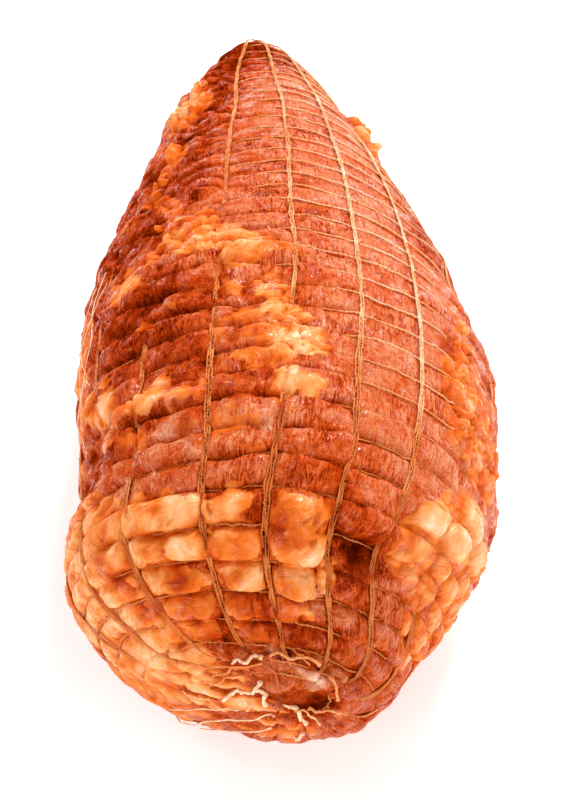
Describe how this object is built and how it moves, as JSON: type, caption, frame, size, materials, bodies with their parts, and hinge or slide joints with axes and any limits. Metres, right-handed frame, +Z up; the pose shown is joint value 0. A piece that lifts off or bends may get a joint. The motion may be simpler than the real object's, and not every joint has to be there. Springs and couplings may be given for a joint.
{
  "type": "smoked shoulder ham",
  "caption": "Boneless smoked shoulder ham in an elastic net: a tapering, rounded body with pillowed meat and fat between lengthwise cords and ring threads, lying on its flattened underside.",
  "frame": {"origin": "middle of the bounding box, on the table under the ham", "axes": "+Y along the ham from the open end of the net to the narrow tip, +Z up, +X to the right seen from the open end"},
  "size_m": [0.1258, 0.3079, 0.1124],
  "materials": {
    "smoked_meat": "moist smoked meat, red-brown lean with pale orange fat, satin to glossy",
    "netting": "knitted elastic netting, stained golden orange by smoke, matt"
  },
  "bodies": {
    "root": {"ham": "smoked_meat", "net": "netting"}
  },
  "joints": []
}
